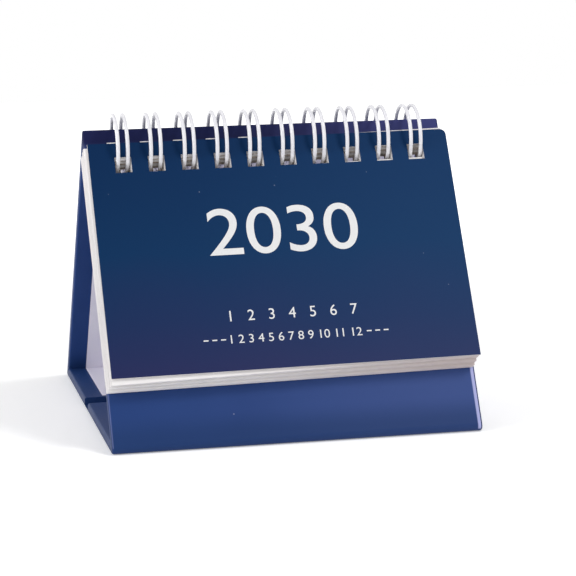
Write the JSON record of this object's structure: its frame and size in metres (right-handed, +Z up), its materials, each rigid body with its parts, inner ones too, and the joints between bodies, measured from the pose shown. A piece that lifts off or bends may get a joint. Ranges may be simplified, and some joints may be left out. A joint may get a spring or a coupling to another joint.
{
  "type": "standing desk calendar",
  "caption": "Small easel desk calendar: wrapped-board stand, block of leaves and a cover sheet on a white twin-loop wire binding.",
  "frame": {"origin": "under the middle of the whole object, on the surface that it stands on", "axes": "+X along the width, to the right of someone who reads the cover; -Y towards the reader; +Z up"},
  "size_m": [0.0944, 0.0896, 0.0789],
  "materials": {
    "greyboard": "matt grey-brown board",
    "navy_wrap": "satin laminated navy paper",
    "lining_paper": "matt white lining paper",
    "leaf_paper": "matt white card leaves",
    "cover_card": "satin printed card, deep blue fading to purple navy",
    "white_wire": "glossy white coated wire"
  },
  "bodies": {
    "root": {"front_board": "greyboard", "back_board": "greyboard", "rear_base_board": "greyboard", "front_base_board": "greyboard", "wrap": "navy_wrap", "lining": "lining_paper", "leaf_block": "leaf_paper", "wire_binding": "white_wire"},
    "cover": {"front_cover": "cover_card"}
  },
  "joints": [
    {"name": "cover_turn", "type": "hinge", "parent": "root", "child": "cover", "pos_m": [0, -0.00602, 0.07043], "axis": [-1, 0, 0], "range_deg": [0, 120]}
  ]
}
